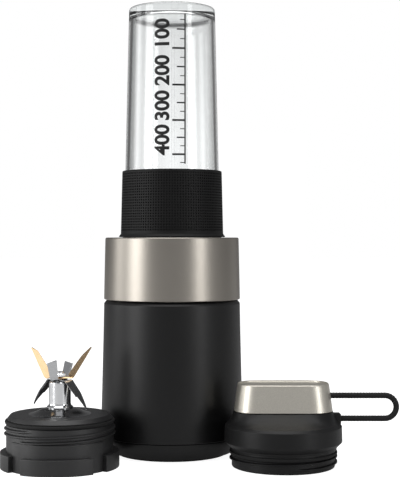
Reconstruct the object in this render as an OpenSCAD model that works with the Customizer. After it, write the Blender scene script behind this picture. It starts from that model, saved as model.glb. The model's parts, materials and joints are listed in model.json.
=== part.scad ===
// Personal blender set: a motor base with a bottle standing upside down in its collar,
// a spare blade unit and a travel lid. The origin is the base's bottom centre, +Z up, the front is -Y.

/* [Motor base] */
// Height of the base from the table to the collar's rim
base_h = 175; // [168:1:215]
// Height of the seam between the body and the skirt
seam_z = 15.3; // [13:0.1:18.5]
// How much wider the body is at the seam than below the collar
body_flare = 2.6; // [1:0.1:6]
// Wall of the plastic body
shell_wall = 2.4; // [1.8:0.1:3]
// Height of the metal collar
collar_h = 50; // [41:1:60]
// Width of the rim from the socket's wall to the outside of the collar
rim_w = 7.5; // [6.5:0.1:12]
// Thickness of the collar's metal
collar_wall = 1.2; // [0.8:0.1:1.5]
// Outside radius of the rubber foot ring
foot_r = 45.5; // [38:0.5:48]
// How deep the blade cup stands below the collar's rim
cup_sink = 43; // [42:0.5:50]

/* [Motor] */
// Radius of the armature
rotor_r = 19; // [15:0.5:23]
// Height of the laminations
stack_h = 38; // [30:1:47]
// Radius of the motor's shaft
shaft_r = 4; // [3:0.1:4.8]
// Air gap between armature and field
air_gap = 0.6; // [0.4:0.1:1]
// Radius of the cooling fan
fan_r = 30; // [24:0.5:35]
// Radius of the ball bearings
bearing_r = 11; // [9:0.5:13]

/* [Blade unit] */
// Radius of the cup's threaded wall
cup_r = 40.8; // [37:0.1:49]
// Height of the cup
cup_h = 40.2; // [38:0.1:42]
// Height of the four locking lugs
lug_h = 12.2; // [10:0.1:12.8]
// Radius of the steel post under the blades
post_r = 8.4; // [7:0.1:9.4]
// Height of the post's top above the cup's foot
post_top = 65; // [58:0.5:76]
// Radius of the blade shaft
spindle_r = 3; // [2.4:0.1:3.6]
// Thickness of the blade steel
blade_t = 1; // [0.8:0.1:1.4]
// Angle that unlocks the bottle
lock_turn = 28; // [24:1:32]

/* [Bottle] */
// Length of the bottle that stands above the collar's rim
bottle_len = 186.4; // [150:1:225]
// Radius of the clear bottle where it leaves the sleeve
bottle_r_low = 38; // [36:0.1:39]
// Radius of the clear bottle at its closed end
bottle_r_top = 35; // [30:0.1:37]
// Wall of the bottle
bottle_wall = 3; // [2.4:0.1:3.6]
// Thickness of the bottle's closed end
bottle_floor = 7; // [5:0.5:9]
// Height of the silicone grip sleeve
sleeve_h = 54; // [40:1:70]
// Thickness of the sleeve
sleeve_t = 2.3; // [1.6:0.1:2.8]

/* [Travel lid] */
// Radius of the lid's band
band_r = 45.2; // [42.5:0.1:54]
// Height of the drinking cap above the table
lid_h = 63.5; // [60:0.5:72]
// Half length of the drinking cap at its foot
cap_half_l = 37.6; // [32:0.1:39]
// Half width of the drinking cap at its foot
cap_half_w = 20.9; // [18:0.1:26]
// How far the carry loop reaches from the lid's axis
loop_reach = 89.1; // [70:0.5:108]
// Radius of the loop's cord
loop_r = 2.3; // [1.8:0.1:2.6]

/* [Fits] */
// Radial clearance of a shaft in its bearing
run_fit = 0.04; // [0.02:0.01:0.08]
// Gap between pieces that move past each other
gap = 0.4; // [0.3:0.05:0.6]

/* [Hidden] */
$fn = 96;

// Blade cup, measured from its own foot
thread_r = cup_r + 1.5;
panel_r = cup_r + 1;
panel_top = 22.5;
lug_r = cup_r + 4.7;
lug_span = 73;
cup_cavity_r = cup_r - 4.2;
cup_deck_t = 3.4;
dome_r = 23;
dome_h = 4.6;
cup_boss_r = 9.6;
cup_boss_foot = 16;
gasket_z = 33.5;
gasket_h = 3;
post_foot = cup_h + dome_h;
stem_r = 6.6;
bush_r = 5;
coupler_foot = 1.5;
coupler_r = 12;
coupler_cave = 9.4;
coupler_h = 12.5;
stack_z = post_top + 0.4;

// Levels of the motor base
collar_z = base_h - collar_h;
cup_z = base_h - cup_sink;
ring_h = 6.4;
socket_top = base_h - 1.8;
socket_floor = cup_z - 0.3 - ring_h - 0.3;
socket_floor_t = 3.5;
socket_r = lug_r + 1.3;
socket_wall = 2.2;
collar_r_top = socket_r + rim_w;
collar_r_low = collar_r_top + 1.05;
body_r_top = collar_r_low - 0.05;
body_r_low = body_r_top + body_flare;
neck_r = body_r_top - collar_wall - 1.1;
neck_wall = 2;
foot_h = 3;
foot_w = 4.5;
cover_t = 2.5;
skirt_r = foot_r + 3.8;

// Locking tabs and keys
gap_angle = 45;
tab_half = 6.5;
key_half = 7.5;
tab_z = cup_z + lug_h + 0.4;
tab_h = 4.4;
plunger_r = 1.8;
plunger_at = cup_r + 0.7;
plunger_drop = 3;
switch_drop = 15.5;
switch_size = [12, 10, 6];

// Motor, from the floor up
bearing_h = 7;
damper_h = 6;
boss_h = 3.5;
bracket_t = 3;
bracket_z = foot_h + cover_t + boss_h + damper_h;
stator_r = rotor_r + air_gap + 18.4;
post_ring = stator_r + 4;
bracket_r = post_ring + 5;
rod_r = 2.5;
comm_r = 10;
comm_z = bracket_z + bracket_t + 4;
comm_h = 11;
core_z = comm_z + comm_h + 11;
coil_h = 7;
fan_z = core_z + stack_h + coil_h + 3;
fan_h = 8;
top_bracket_z = fan_z + fan_h + 3;
shaft_foot = bracket_z + bracket_t - bearing_h + 0.3;
shaft_top = cup_z + 2;
brush_w = 6;

// Bottle
mouth_bore = thread_r + 0.3;
mouth_r = mouth_bore + 2.5;
mouth_z = cup_z + panel_top + 0.1;
shoulder_z = cup_z + cup_h + 0.6;
shoulder_t = 2.2;
sleeve_foot = base_h + 0.3;
sleeve_top = base_h + sleeve_h;
bottle_top = base_h + bottle_len;
sleeve_flare = 1.6;
bottle_r_foot = bottle_r_low + 1.4;

// Places of the two pieces that stand beside the base
spare_angle = 215.5;
spare_turn = 3;
spare_dist = body_r_low + lug_r + gap;
lid_angle = -34.1;
lid_dist = body_r_low + band_r + 1.5;

// Travel lid, measured from its own foot
lid_skirt_r = band_r - 5.7;
lid_thread_r = band_r - 3.9;
lid_wall = 3.2;
band_low = 19.3;
band_top = 31.2;
shoulder_top = 42.2;
cap_foot = shoulder_top + 0.4;
cap_lean = 2.8;
cap_corner = 17;
cap_wall = 1.6;
loop_high = 53.8;
loop_low = 36.2;
loop_bend = (loop_high - loop_low) / 2;
lug_x = cap_half_l + 0.4;
spout_r = 12;
spout_bore = 9.6;

module ring(r_out, r_in, h) {
    difference() {
        cylinder(r = r_out, h = h);
        translate([0, 0, -1]) cylinder(r = r_in, h = h + 2);
    }
}

module ring_sector(r_out, r_in, h, from, span) {
    rotate([0, 0, from]) rotate_extrude(angle = span)
        translate([r_in, 0]) square([r_out - r_in, h]);
}

module around(count, radius, first = 0) {
    for (i = [0 : count - 1])
        rotate([0, 0, first + i * 360 / count]) translate([radius, 0, 0]) children();
}

module at_spare() {
    translate([spare_dist * cos(spare_angle), spare_dist * sin(spare_angle), 0])
        rotate([0, 0, spare_turn]) children();
}

module at_cup() {
    translate([0, 0, cup_z]) children();
}

module at_lid() {
    translate([lid_dist * cos(lid_angle), lid_dist * sin(lid_angle), 0]) children();
}

// ---- Motor base, outside ----

// Plastic body with the neck that the collar is pressed on
module base_shell() {
    color("#242424") difference() {
        rotate_extrude() polygon([
            [body_r_low, seam_z], [body_r_top, collar_z - 3.3], [body_r_top - 2.1, collar_z - 0.4],
            [neck_r, collar_z - 0.4], [neck_r, socket_top - 2.6], [neck_r - neck_wall, socket_top - 2.6],
            [neck_r - neck_wall, collar_z - 5], [body_r_top - shell_wall, collar_z - 9],
            [body_r_low - shell_wall, seam_z]
        ]);
        translate([0, body_r_low + 1, cord_z]) rotate([90, 0, 0]) cylinder(r = grommet_r, h = 12);
    }
}

cord_z = 30;
grommet_r = 6;
cord_bore = 3.5;
grommet_y = body_r_low - shell_wall - 2.5;

// Rubber grommet where the mains lead would enter
module cord_inlet() {
    color("#1a1a1a") translate([0, grommet_y, cord_z]) rotate([-90, 0, 0]) difference() {
        union() {
            cylinder(r = grommet_r - 0.05, h = shell_wall + 4.5);
            translate([0, 0, shell_wall + 3]) cylinder(r = grommet_r + 2, h = 1.8);
            cylinder(r = grommet_r + 1.2, h = 1.4);
        }
        translate([0, 0, -1]) cylinder(r = cord_bore, h = 20);
    }
}

// Spun metal collar with a rolled rim
module metal_collar() {
    color("#a8a199") rotate_extrude() polygon([
        [collar_r_low - 0.6, collar_z], [collar_r_low, collar_z + 0.8], [collar_r_top, base_h - 1],
        [collar_r_top - 1, base_h], [socket_r + 1.6, base_h], [socket_r + 1.6, base_h - 1.3],
        [collar_r_top - collar_wall - 0.6, base_h - 1.3], [collar_r_top - collar_wall, base_h - 2.2],
        [collar_r_low - collar_wall, collar_z]
    ]);
}

// Skirt and floor in one moulding, with vents and the damper bosses
module bottom_cover() {
    floor_z = foot_h;
    color("#202020") difference() {
        union() {
            rotate_extrude() polygon([
                [0, floor_z], [foot_r - foot_w - 1, floor_z], [foot_r - foot_w - 1, floor_z - 1.1],
                [foot_r - foot_w - 0.1, floor_z - 1.1], [foot_r - foot_w - 0.1, floor_z],
                [foot_r + 0.1, floor_z], [foot_r + 0.1, floor_z - 1.1], [skirt_r, floor_z - 1.1],
                [body_r_low - 0.4, seam_z - 0.3], [body_r_low - shell_wall - 0.1, seam_z - 0.3],
                [body_r_low - shell_wall - 0.1, seam_z + 3], [body_r_low - shell_wall - 1.7, seam_z + 3],
                [body_r_low - shell_wall - 1.7, seam_z - 1.5],
                [skirt_r - 1.5, floor_z + cover_t], [0, floor_z + cover_t]
            ]);
            around(4, damper_ring, gap_angle) translate([0, 0, floor_z + 0.5])
                cylinder(r = 5, h = cover_t + boss_h - 0.5);
        }
        around(24, 27, 7.5) translate([-8, -1, 0]) cube([16, 2, floor_z + cover_t + 1]);
        around(4, damper_ring, gap_angle) {
            translate([0, 0, -1]) cylinder(r = screw_r + 0.1, h = floor_z + 20);
            translate([0, 0, -1]) cylinder(r = screw_head_r + 0.3, h = floor_z + 2.5);
        }
    }
}

damper_ring = foot_r - foot_w - 8;
screw_r = 1.7;
screw_head_r = 3;

// Four screws from below that hold the cover, the dampers and the motor's lower bracket
module bottom_screws() {
    color("#8d9094") around(4, damper_ring, gap_angle) difference() {
        union() {
            translate([0, 0, foot_h - 0.6]) cylinder(r = screw_head_r, h = 2.1);
            translate([0, 0, foot_h]) cylinder(r = screw_r, h = bracket_z + bracket_t - foot_h);
        }
        translate([-2, -0.4, foot_h - 1.6]) cube([4, 0.8, 2]);
        translate([-0.4, -2, foot_h - 1.6]) cube([0.8, 4, 2]);
    }
}

// Non-slip ring that the base stands on
module foot_ring() {
    color("#303030") ring(foot_r, foot_r - foot_w, foot_h);
}

// Well that takes the blade cup: wall, floor, four tabs over the lugs and the switch's ears
module bottle_socket() {
    color("#1c1c1c") difference() {
        union() {
            rotate_extrude() polygon([
                [8, socket_floor - socket_floor_t], [socket_r + socket_wall, socket_floor - socket_floor_t],
                [socket_r + socket_wall, socket_top - 2.4], [neck_r - 0.2, socket_top - 2.4],
                [neck_r - 0.2, socket_top], [socket_r, socket_top], [socket_r, socket_floor],
                [8, socket_floor]
            ]);
            for (k = [0 : 3])
                translate([0, 0, tab_z])
                    ring_sector(socket_r + 1, panel_r + 1.4, tab_h,
                                gap_angle - tab_half + 90 * k, 2 * tab_half);
            for (side = [-1, 1])
                translate([side * (switch_size[0] / 2 + 1.1) - 1, plunger_at - 5,
                           socket_floor - socket_floor_t - switch_drop])
                    cube([2, 10, switch_drop + 1]);
        }
        translate([0, plunger_at, socket_floor - socket_floor_t - 1])
            cylinder(r = plunger_r + run_fit, h = socket_floor_t + 2);
    }
}

// Lip seal that keeps spills off the motor
module drive_seal() {
    color("#3a3a3a") translate([0, 0, socket_floor - socket_floor_t])
        ring(8, shaft_r + run_fit, socket_floor_t - 0.3);
}

// ---- Motor, fixed parts ----

module bearing_seat(z) {
    translate([0, 0, z]) ring(bearing_r + 3, bearing_r, bearing_h);
}

// Lower end plate with the bearing seat
module lower_bracket() {
    color("#9a9da0") difference() {
        union() {
            translate([0, 0, bracket_z]) cylinder(r = bracket_r, h = bracket_t);
            translate([0, 0, bracket_z + bracket_t - bearing_h]) cylinder(r = bearing_r + 3, h = bearing_h);
        }
        translate([0, 0, bracket_z - 10]) cylinder(r = bearing_r, h = 30);
        around(4, damper_ring, gap_angle) cylinder(r = screw_r, h = 60);
        around(4, 28, 0) translate([-6, -5, bracket_z - 1]) cube([12, 10, 10]);
    }
}

// Upper spider with the second bearing seat
module upper_bracket() {
    color("#9a9da0") difference() {
        union() {
            translate([0, 0, top_bracket_z - 1]) cylinder(r = bearing_r + 3, h = bearing_h);
            translate([0, 0, top_bracket_z]) around(4, 0, gap_angle)
                translate([bearing_r, -5, 0]) cube([post_ring - bearing_r, 10, bracket_t]);
            translate([0, 0, top_bracket_z]) around(4, post_ring, gap_angle) cylinder(r = 5, h = bracket_t);
        }
        translate([0, 0, top_bracket_z - 10]) cylinder(r = bearing_r, h = 30);
    }
}

// Four rods that tie both brackets to the field
module bracket_posts() {
    color("#b5b8bb") translate([0, 0, bracket_z + bracket_t]) around(4, post_ring, gap_angle)
        cylinder(r = rod_r, h = top_bracket_z - bracket_z - bracket_t);
}

// Rubber blocks between the cover's bosses and the lower bracket
module motor_dampers() {
    color("#2d2d2d") translate([0, 0, bracket_z - damper_h]) around(4, damper_ring, gap_angle)
        ring(5, screw_r, damper_h);
}

coil_spans = [[-62, 20], [42, 20], [118, 20], [222, 20]];
coil_in = rotor_r + air_gap + 2.4;
coil_out = coil_in + 9.5;

// Laminated field with four ears on the rods and four windows for the coils
module stator_core() {
    color("#6f7478") translate([0, 0, core_z]) difference() {
        union() {
            cylinder(r = stator_r, h = stack_h);
            around(4, post_ring, gap_angle) cylinder(r = 5, h = stack_h);
            around(4, stator_r - 3, gap_angle) translate([0, -5, 0]) cube([7, 10, stack_h]);
        }
        translate([0, 0, -1]) cylinder(r = rotor_r + air_gap, h = stack_h + 2);
        around(4, post_ring, gap_angle) translate([0, 0, -1]) cylinder(r = rod_r + 0.1, h = stack_h + 2);
        for (s = coil_spans)
            translate([0, 0, -1]) ring_sector(coil_out + 0.3, coil_in - 0.3, stack_h + 2, s[0] - 1, s[1] + 2);
    }
}

// Two copper field coils: a leg in each window and an arc above and below
module field_coils() {
    color("#b0683a") {
        for (s = coil_spans)
            translate([0, 0, core_z - 2])
                ring_sector(coil_out - 0.4, coil_in + 0.4, stack_h + 4, s[0] + 1, s[1] - 2);
        for (first = [-62, 118], z = [core_z - coil_h, core_z + stack_h + 0.5])
            translate([0, 0, z]) ring_sector(coil_out, coil_in, coil_h - 0.5, first, 124);
    }
}

module ball_bearing(z) {
    translate([0, 0, z]) rotate_extrude() polygon([
        [shaft_r + run_fit, 0], [shaft_r + 2.2, 0], [shaft_r + 2.6, 0.5], [bearing_r - 2.4, 0.5],
        [bearing_r - 2, 0], [bearing_r, 0], [bearing_r, bearing_h], [bearing_r - 2, bearing_h],
        [bearing_r - 2.4, bearing_h - 0.5], [shaft_r + 2.6, bearing_h - 0.5],
        [shaft_r + 2.2, bearing_h], [shaft_r + run_fit, bearing_h]
    ]);
}

module lower_bearing() {
    color("#c5c8cc") ball_bearing(bracket_z + bracket_t - bearing_h);
}

module upper_bearing() {
    color("#c5c8cc") ball_bearing(top_bracket_z - 1);
}

// Two brass brush boxes on plastic carriers that stand on the lower bracket
module brush_holders() {
    color("#c2a25a") for (side = [0, 180]) rotate([0, 0, side]) difference() {
        translate([comm_r + 3, -brush_w / 2 - 1.5, bracket_z + bracket_t])
            cube([20, brush_w + 3, comm_h + 2]);
        translate([comm_r + 2, -brush_w / 2, comm_z + 1.5]) cube([20, brush_w, comm_h - 4]);
    }
}

module carbon_brushes() {
    color("#2b2b2e") for (side = [0, 180]) rotate([0, 0, side])
        translate([comm_r + gap, -brush_w / 2 + 0.1, comm_z + 1.6])
            cube([14, brush_w - 0.2, comm_h - 4.2]);
}

// Speed board that stands on the lower bracket behind the motor
module control_board() {
    board_y = stator_r + 6.4;
    color("#2f6b45") {
        translate([-15, board_y, bracket_z + bracket_t]) cube([30, 1.6, 44]);
        translate([-11, board_y - 3, bracket_z + bracket_t + 25]) cube([9, 3, 11]);
        translate([3, board_y - 3, bracket_z + bracket_t + 12]) cube([8, 3, 8]);
        translate([-10, board_y + 1.6, bracket_z + bracket_t + 30]) cube([14, 3, 8]);
    }
}

// ---- Motor, turning parts ----

module rotor_shaft() {
    color("#c9ccd0") translate([0, 0, shaft_foot]) cylinder(r = shaft_r, h = shaft_top - shaft_foot);
}

// Slotted armature laminations
module rotor_core() {
    color("#7d8287") translate([0, 0, core_z]) difference() {
        cylinder(r = rotor_r, h = stack_h);
        translate([0, 0, -1]) cylinder(r = shaft_r, h = stack_h + 2);
        around(12, rotor_r - 7) translate([0, -1.2, -1]) cube([9, 2.4, stack_h + 2]);
    }
}

// Copper ends of the armature winding
module rotor_windings() {
    color("#b87333") for (z = [core_z - coil_h, core_z + stack_h])
        translate([0, 0, z]) rotate_extrude() polygon([
            [shaft_r + 1, 0], [rotor_r - 6, 0], [rotor_r - 3, 2], [rotor_r - 3, coil_h - 2],
            [rotor_r - 6, coil_h], [shaft_r + 1, coil_h]
        ]);
}

// Segmented copper drum that the brushes ride on
module commutator() {
    color("#c77f45") translate([0, 0, comm_z]) difference() {
        cylinder(r = comm_r, h = comm_h);
        translate([0, 0, -1]) cylinder(r = shaft_r, h = comm_h + 2);
        around(12, comm_r - 1, 15) translate([0, -0.3, -1]) cube([3, 0.6, comm_h + 2]);
    }
}

module cooling_fan() {
    color("#3c3f42") translate([0, 0, fan_z]) difference() {
        union() {
            cylinder(r = shaft_r + 5, h = fan_h);
            around(9, shaft_r + 4) translate([0, 0, fan_h / 2]) rotate([35, 0, 0])
                translate([0, -4, -0.6]) cube([fan_r - shaft_r - 5, 8, 1.2]);
        }
        translate([0, 0, -1]) cylinder(r = shaft_r, h = fan_h + 2);
    }
}

drive_teeth = 3;
drive_r = 6.2;
tooth_reach = 8.8;
tooth_w = 2.6;
slot_side = asin((tooth_w / 2 + gap) / drive_r) + 1;
// Three-toothed dog on the shaft's end
module drive_coupler() {
    z0 = socket_floor + 0.5;
    top = cup_z + coupler_foot + coupler_cave - 0.8;
    color("#4a4d50") difference() {
        union() {
            translate([0, 0, z0]) cylinder(r = 14, h = 3);
            translate([0, 0, z0]) cylinder(r = drive_r, h = top - z0);
            translate([0, 0, z0]) around(drive_teeth, 0)
                translate([0, -tooth_w / 2, 0]) cube([tooth_reach, tooth_w, top - z0]);
        }
        translate([0, 0, z0 - 1]) cylinder(r = shaft_r, h = shaft_top - z0 + 1);
    }
}

// ---- Lock and interlock ----

// Turning ring under the cup, with a key in each gap between the lugs and a ramp over the plunger
module lock_ring() {
    z0 = socket_floor + 0.3;
    ramp = plunger_at * sin(lock_turn);
    color("#3b3b3b") difference() {
        union() {
            translate([0, 0, z0]) ring(socket_r - run_fit, coupler_r + 22, ring_h);
            for (k = [0 : 3])
                translate([0, 0, z0 + ring_h - 1])
                    ring_sector(lug_r - 0.3, panel_r + gap, lug_h + 0.3,
                                gap_angle - key_half + 90 * k, 2 * key_half);
        }
        intersection() {
            translate([0, 0, z0 - 1]) ring(plunger_at + 2.6, plunger_at - 2.6, ring_h);
            translate([0, 60, z0]) rotate([90, 0, 0]) linear_extrude(60) polygon([
                [5, -0.5], [5, plunger_drop], [0, plunger_drop], [-ramp, 0], [-ramp, -0.5]
            ]);
        }
    }
}

// Sprung pin that the ring presses down when the bottle is locked
module interlock_plunger() {
    tip = socket_floor + 0.3 + plunger_drop - 0.3;
    under = socket_floor - socket_floor_t;
    color("#c4c4c4") translate([0, plunger_at, 0]) {
        translate([0, 0, under - switch_drop + 5]) cylinder(r = plunger_r, h = tip - 1.2 - under + switch_drop - 5);
        translate([0, 0, tip - 1.2]) cylinder(r1 = plunger_r, r2 = 0.6, h = 1.2);
        translate([0, 0, under - 2.5]) cylinder(r = 3.3, h = 1.5);
    }
}

function coil_point(a, length, turn_r, wire_r, side) =
    let (r = turn_r + wire_r * cos(side * 60), z = a / (360 * coil_turns) * length)
    [r * cos(a), r * sin(a), z + wire_r * sin(side * 60)];

coil_turns = 4;
coil_steps = 48;

// Round wire wound into a coil, as one swept tube
module coil(length, turn_r, wire_r) {
    angles = [for (i = [0 : coil_steps]) i * 360 * coil_turns / coil_steps];
    polyhedron(
        points = [for (a = angles, side = [0 : 5]) coil_point(a, length, turn_r, wire_r, side)],
        faces = concat(
            [for (i = [0 : coil_steps - 1], k = [0 : 5])
                [6 * i + k, 6 * i + (k + 1) % 6, 6 * i + 6 + (k + 1) % 6, 6 * i + 6 + k]],
            [[for (k = [5 : -1 : 0]) k], [for (k = [0 : 5]) 6 * coil_steps + k]]
        )
    );
}

// Return spring between the switch and the plunger's collar
module plunger_spring() {
    z0 = socket_floor - socket_floor_t - switch_drop + switch_size[2] + 0.6;
    length = switch_drop - switch_size[2] - 2.5 - 1.2;
    color("#d0d0d0") translate([0, plunger_at, z0]) coil(length, 2.7, 0.4);
}

// Microswitch between the socket's two ears
module interlock_switch() {
    color("#20242a") translate([0, plunger_at, socket_floor - socket_floor_t - switch_drop]) difference() {
        translate([-switch_size[0] / 2, -switch_size[1] / 2, 0]) cube(switch_size);
        translate([0, 0, 1.5]) cylinder(r = plunger_r + 0.5, h = switch_size[2]);
    }
}

// ---- Bottle ----

// Clear bottle, mouth down: wide threaded mouth, shoulder and long tapering body
module bottle() {
    color("#dfe6ea", 0.4) rotate_extrude() polygon([
        [mouth_r, mouth_z], [mouth_r, shoulder_z], [mouth_r - shoulder_t, shoulder_z + shoulder_t],
        [bottle_r_foot + 0.35, shoulder_z + shoulder_t],
        [bottle_r_foot, base_h + 1], [bottle_r_low, sleeve_top], [bottle_r_top, bottle_top - 2.4],
        [bottle_r_top - 0.7, bottle_top - 0.7], [bottle_r_top - 2.4, bottle_top], [0, bottle_top],
        [0, bottle_top - bottle_floor], [bottle_r_top - bottle_wall - 5, bottle_top - bottle_floor],
        [bottle_r_top - bottle_wall, bottle_top - bottle_floor - 5],
        [bottle_r_low - bottle_wall, sleeve_top], [bottle_r_foot - bottle_wall, base_h + 1],
        [bottle_r_foot - 1, shoulder_z], [mouth_bore - 2, shoulder_z], [mouth_bore, shoulder_z - 2],
        [mouth_bore, mouth_z]
    ]);
}

// Dimpled silicone sleeve round the lower part of the bottle
module grip_sleeve() {
    color("#2a2a2a") rotate_extrude() polygon([
        [bottle_r_foot + 0.05, base_h + 1], [bottle_r_foot + 0.45, sleeve_foot],
        [bottle_r_foot + sleeve_t + sleeve_flare, sleeve_foot],
        [bottle_r_foot + sleeve_t, sleeve_foot + 3], [bottle_r_low + sleeve_t + 0.2, sleeve_top - 0.8],
        [bottle_r_low + sleeve_t - 0.6, sleeve_top], [bottle_r_low + 0.05, sleeve_top]
    ]);
}

// ---- Blade unit ----

// Threaded cup with four lugs, a domed deck and a long boss for the post
module cup_solid() {
    deck = cup_h - cup_deck_t;
    difference() {
        union() {
            rotate_extrude() polygon([
                [cup_cavity_r, 0], [cup_r, 0], [cup_r, 23.4], [thread_r, 24.6], [cup_r, 25.8],
                [cup_r, 27.6], [thread_r, 28.8], [cup_r, 30], [cup_r, gasket_z],
                [cup_r - 1.6, gasket_z], [cup_r - 1.6, gasket_z + gasket_h], [cup_r - 0.8, gasket_z + gasket_h],
                [cup_r - 3.4, cup_h], [dome_r, cup_h], [dome_r * 0.7, cup_h + dome_h * 0.45],
                [cup_boss_r, cup_h + dome_h], [stem_r, cup_h + dome_h], [stem_r, cup_boss_foot],
                [cup_boss_r, cup_boss_foot], [cup_boss_r, deck], [cup_cavity_r - 3, deck],
                [cup_cavity_r, deck - 3]
            ]);
            for (first = [-90 - 54.5, 90 - 54.5])
                ring_sector(panel_r, cup_r - 1, panel_top, first, 109);
            for (k = [0 : 3])
                ring_sector(lug_r, cup_r - 1, lug_h, gap_angle + (90 - lug_span) / 2 + 90 * k, lug_span);
        }
    }
}

module gasket_solid() {
    translate([0, 0, gasket_z]) ring(thread_r - 0.4, cup_r - 1.6, gasket_h);
}

// Turned steel post: flange, post and a stem that goes down through the cup
module post_solid() {
    rotate_extrude() polygon([
        [bush_r, cup_boss_foot - 2], [cup_boss_r, cup_boss_foot - 2], [cup_boss_r, cup_boss_foot],
        [stem_r, cup_boss_foot], [stem_r, post_foot], [post_r + 1.6, post_foot],
        [post_r + 1.6, post_foot + 1], [post_r, post_foot + 2.4], [post_r, post_top - 1],
        [post_r - 1, post_top], [bush_r, post_top]
    ]);
}

module bush_solid() {
    translate([0, 0, cup_boss_foot]) ring(bush_r, spindle_r + run_fit, 14);
    translate([0, 0, post_top - 17]) ring(bush_r, spindle_r + run_fit, 12);
}

module seal_solid() {
    translate([0, 0, post_top - 4]) ring(bush_r, spindle_r + run_fit, 3);
}

module shaft_solid() {
    foot = coupler_foot + coupler_cave + 0.4;
    translate([0, 0, foot]) cylinder(r = spindle_r, h = stack_z + 3 * blade_t + 4 - foot);
}

// One wing of a blade: a flat plate that leaves the strip's end at an angle
module wing(root, tilt, outline) {
    translate([root - 0.4, 0, 0.15]) rotate([0, -tilt, 0]) linear_extrude(blade_t) polygon(outline);
}

module strip(half_len, width) {
    difference() {
        translate([-half_len, -width / 2, 0]) cube([2 * half_len, width, blade_t]);
        translate([0, 0, -1]) cylinder(r = spindle_r, h = blade_t + 2);
    }
}

gold_turn = 10;
middle_turn = 68;
lower_turn = 137;

// Long pointed wings that stand up
module top_blade_solid() {
    translate([0, 0, stack_z + 2 * blade_t]) rotate([0, 0, gold_turn]) {
        strip(8, 9);
        wing(8, 58, [[0, -4.2], [0, 4.2], [18, 3.5], [27, -1.5], [12, -5]]);
        rotate([0, 0, 180]) wing(8, 65, [[0, -4.2], [0, 4.2], [18, 3.5], [26, -1.5], [12, -5]]);
    }
}

// Short square wings that stand up
module middle_blade_solid() {
    translate([0, 0, stack_z + blade_t]) rotate([0, 0, middle_turn]) {
        strip(9.6, 8);
        wing(9.6, 68, [[0, -3.7], [0, 3.7], [11, 4], [13, -4]]);
        rotate([0, 0, 180]) wing(9.6, 74, [[0, -3.7], [0, 3.7], [13, 4], [15, -4]]);
    }
}

// Long pointed wings that reach down
module lower_blade_solid() {
    translate([0, 0, stack_z + blade_t]) rotate([0, 0, lower_turn]) mirror([0, 0, 1]) {
        strip(9.8, 9);
        for (side = [0, 180])
            rotate([0, 0, side]) wing(9.8, 46, [[0, -4.2], [0, 4.2], [12, 4.5], [28.5, 0], [12, -3]]);
    }
}

module nut_solid() {
    translate([0, 0, stack_z + 3 * blade_t]) difference() {
        cylinder(r = 5.2, h = 3, $fn = 6);
        translate([0, 0, -1]) cylinder(r = spindle_r, h = 5, $fn = 48);
    }
}

// Socket under the cup that drops over the motor's toothed dog, with slots wide enough for the lock's turn
module coupler_solid() {
    difference() {
        translate([0, 0, coupler_foot]) cylinder(r = coupler_r, h = coupler_h - coupler_foot);
        translate([0, 0, coupler_foot - 1]) cylinder(r = drive_r + gap, h = coupler_cave + 1);
        translate([0, 0, coupler_foot - 1]) around(drive_teeth, 0)
            ring_sector(tooth_reach + gap, drive_r - 1, coupler_cave + 1,
                        -slot_side, lock_turn + 2 * slot_side);
        translate([0, 0, coupler_foot]) cylinder(r = spindle_r, h = coupler_h);
    }
}

module blade_cup() { color("#303030") at_cup() cup_solid(); }
module cup_gasket() { color("#1a1a1a") at_cup() gasket_solid(); }
module hub_post() { color("#d9dbdd") at_cup() post_solid(); }
module shaft_bush() { color("#a9824c") at_cup() bush_solid(); }
module shaft_seal() { color("#222222") at_cup() seal_solid(); }
module blade_shaft() { color("#c6c8ca") at_cup() shaft_solid(); }
module blades_top() { color("#b08d55") at_cup() top_blade_solid(); }
module blades_middle() { color("#cfd2d5") at_cup() middle_blade_solid(); }
module blades_lower() { color("#b9bcc0") at_cup() lower_blade_solid(); }
module blade_nut() { color("#d5d8da") at_cup() nut_solid(); }
module blade_coupler() { color("#26282a") at_cup() coupler_solid(); }

module spare_blade_cup() { color("#303030") at_spare() cup_solid(); }
module spare_cup_gasket() { color("#1a1a1a") at_spare() gasket_solid(); }
module spare_hub_post() { color("#d9dbdd") at_spare() post_solid(); }
module spare_shaft_bush() { color("#a9824c") at_spare() bush_solid(); }
module spare_shaft_seal() { color("#222222") at_spare() seal_solid(); }
module spare_blade_shaft() { color("#c6c8ca") at_spare() shaft_solid(); }
module spare_blades_top() { color("#b08d55") at_spare() top_blade_solid(); }
module spare_blades_middle() { color("#cfd2d5") at_spare() middle_blade_solid(); }
module spare_blades_lower() { color("#b9bcc0") at_spare() lower_blade_solid(); }
module spare_blade_nut() { color("#d5d8da") at_spare() nut_solid(); }
module spare_blade_coupler() { color("#26282a") at_spare() coupler_solid(); }

// ---- Travel lid ----

module rounded_plan(half_l, half_w, corner) {
    for (x = [-1, 1], y = [-1, 1])
        translate([x * (half_l - corner), y * (half_w - corner)]) circle(corner, $fn = 32);
}

// Thin slab in the cap's plan, for the lofts
module plan_slab(half_l, half_w, corner, z) {
    translate([0, 0, z]) linear_extrude(0.02) hull() rounded_plan(half_l, half_w, corner);
}

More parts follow.
